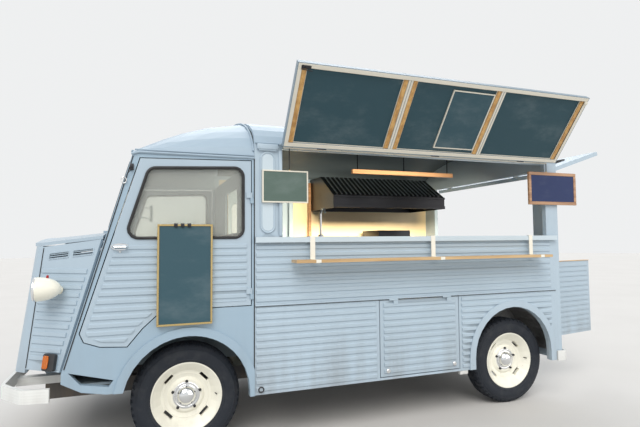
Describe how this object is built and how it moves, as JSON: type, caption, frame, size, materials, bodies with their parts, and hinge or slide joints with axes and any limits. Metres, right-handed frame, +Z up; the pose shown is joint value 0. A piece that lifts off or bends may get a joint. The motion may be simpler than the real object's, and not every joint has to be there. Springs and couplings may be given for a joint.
{
  "type": "food truck on a forward-control ribbed-steel panel van",
  "caption": "Ribbed panel van fitted out as a food truck, with a serving hatch under a raised flap, a counter, a customer shelf, opening doors, steering and turning wheels.",
  "frame": {"origin": "middle of the footprint of the whole object's box, on the ground under the wheels", "axes": "+X to the rear of the van, -Y to the side with the serving hatch, which is the van's left, +Z up"},
  "size_m": [4.7926, 2.6262, 2.3952],
  "materials": {
    "body_paint": "satin pale blue-grey paint",
    "white_paint": "satin white paint",
    "cream_paint": "satin cream paint",
    "under_paint": "matte black chassis paint",
    "tyre": "matte dark rubber",
    "glass": "clear",
    "steel": "brushed",
    "dark_metal": "satin black",
    "dark_plastic": "matte black",
    "wood": "oiled",
    "slate": "matte blackboard paint on board",
    "vinyl": "dark vinyl"
  },
  "bodies": {
    "body": {"chassis_frame": "under_paint", "load_floor": "steel", "cab_tub": "body_paint", "engine_block": "under_paint", "front_crossmember": "under_paint", "rear_axle": "under_paint", "cab_side_left": "body_paint", "cab_side_right": "body_paint", "windscreen_frame": "body_paint", "windscreen_glass": "glass", "cab_roof": "body_paint", "load_roof": "body_paint", "nose_shell": "body_paint", "grille": "body_paint", "headlamp_left": "cream_paint", "headlamp_right": "cream_paint", "front_bumper": "white_paint", "lower_side_left": "body_paint", "upper_side_left": "body_paint", "body_side_right": "body_paint", "rear_frame": "body_paint", "rear_bumper_left": "white_paint", "rear_bumper_right": "white_paint", "counter_top": "white_paint", "serving_shelf": "wood", "seats": "vinyl", "dashboard": "dark_plastic", "extractor_hood": "dark_metal", "kitchen_unit": "steel", "sign_front": "slate", "sign_rear": "wood"},
    "knuckle_left": {"knuckle_left": "under_paint"},
    "knuckle_right": {"knuckle_right": "under_paint"},
    "front_left_wheel": {"wheel_front_left": "cream_paint", "tyre_front_left": "tyre"},
    "front_right_wheel": {"wheel_front_right": "cream_paint", "tyre_front_right": "tyre"},
    "rear_left_wheel": {"wheel_rear_left": "cream_paint", "tyre_rear_left": "tyre"},
    "rear_right_wheel": {"wheel_rear_right": "cream_paint", "tyre_rear_right": "tyre"},
    "left_door": {"door_left": "body_paint", "door_glass_left": "glass", "door_board": "slate"},
    "right_door": {"door_right": "body_paint", "door_glass_right": "glass"},
    "flap": {"serving_flap": "body_paint", "menu_boards": "slate"},
    "locker_door": {"locker_door": "body_paint"},
    "sliding_door": {"side_door": "body_paint", "side_door_glass": "glass"},
    "left_rear_door": {"rear_door_left": "body_paint"},
    "right_rear_door": {"rear_door_right": "body_paint"},
    "tailgate": {"tailgate": "body_paint", "tailgate_glass": "glass"},
    "bonnet": {"bonnet": "body_paint"},
    "steering_wheel": {"steering_wheel": "dark_plastic"}
  },
  "joints": [
    {"name": "steering_wheel_turn", "type": "hinge", "parent": "body", "child": "steering_wheel", "pos_m": [-1.50633, -0.29689, 1.13], "axis": [0.4928, 0, 0.8701], "range_deg": [-540, 540]},
    {"name": "steer_left", "type": "hinge", "parent": "body", "child": "knuckle_left", "pos_m": [-1.35633, -0.61189, 0.335], "axis": [0, 0, 1], "range_deg": [-28, 28]},
    {"name": "steer_right", "type": "hinge", "parent": "body", "child": "knuckle_right", "pos_m": [-1.35633, 0.85811, 0.335], "axis": [0, 0, 1], "range_deg": [-28, 28]},
    {"name": "front_left_spin", "type": "hinge", "parent": "knuckle_left", "child": "front_left_wheel", "pos_m": [-1.35633, -0.69189, 0.335], "axis": [0, 1, 0], "continuous": true},
    {"name": "front_right_spin", "type": "hinge", "parent": "knuckle_right", "child": "front_right_wheel", "pos_m": [-1.35633, 0.93811, 0.335], "axis": [0, 1, 0], "continuous": true},
    {"name": "rear_left_spin", "type": "hinge", "parent": "body", "child": "rear_left_wheel", "pos_m": [1.17367, -0.69189, 0.335], "axis": [0, 1, 0], "continuous": true},
    {"name": "rear_right_spin", "type": "hinge", "parent": "body", "child": "rear_right_wheel", "pos_m": [1.17367, 0.93811, 0.335], "axis": [0, 1, 0], "continuous": true},
    {"name": "left_door_swing", "type": "hinge", "parent": "body", "child": "left_door", "pos_m": [-0.96933, -0.87449, 0.98], "axis": [0, 0, 1], "range_deg": [0, 70]},
    {"name": "right_door_swing", "type": "hinge", "parent": "body", "child": "right_door", "pos_m": [-0.96933, 1.12071, 0.98], "axis": [0, 0, -1], "range_deg": [0, 70]},
    {"name": "flap_swing", "type": "hinge", "parent": "body", "child": "flap", "pos_m": [-0.63633, -0.93689, 1.95], "axis": [-1, 0, 0], "range_deg": [-142, 0]},
    {"name": "locker_door_swing", "type": "hinge", "parent": "body", "child": "locker_door", "pos_m": [0.06367, -0.87449, 0.891], "axis": [-1, 0, 0], "range_deg": [0, 80]},
    {"name": "sliding_door_travel", "type": "slide", "parent": "body", "child": "sliding_door", "axis": [1, 0, 0], "range_m": [0, 0.76]},
    {"name": "left_rear_door_swing", "type": "hinge", "parent": "body", "child": "left_rear_door", "pos_m": [1.63627, -0.63689, 0.56], "axis": [0, 0, 1], "range_deg": [-10, 80]},
    {"name": "right_rear_door_swing", "type": "hinge", "parent": "body", "child": "right_rear_door", "pos_m": [1.63627, 0.88311, 0.56], "axis": [0, 0, 1], "range_deg": [0, 90]},
    {"name": "tailgate_swing", "type": "hinge", "parent": "body", "child": "tailgate", "pos_m": [1.63627, 0.12311, 1.9], "axis": [0, 1, 0], "range_deg": [0, 108]},
    {"name": "bonnet_swing", "type": "hinge", "parent": "body", "child": "bonnet", "pos_m": [-1.84233, 0.12311, 1.392], "axis": [0, 1, 0], "range_deg": [0, 55]}
  ],
  "couplings": [
    {"joint": "steer_left", "follows": "steering_wheel_turn", "ratio": 0.05185},
    {"joint": "steer_right", "follows": "steering_wheel_turn", "ratio": 0.05185}
  ]
}
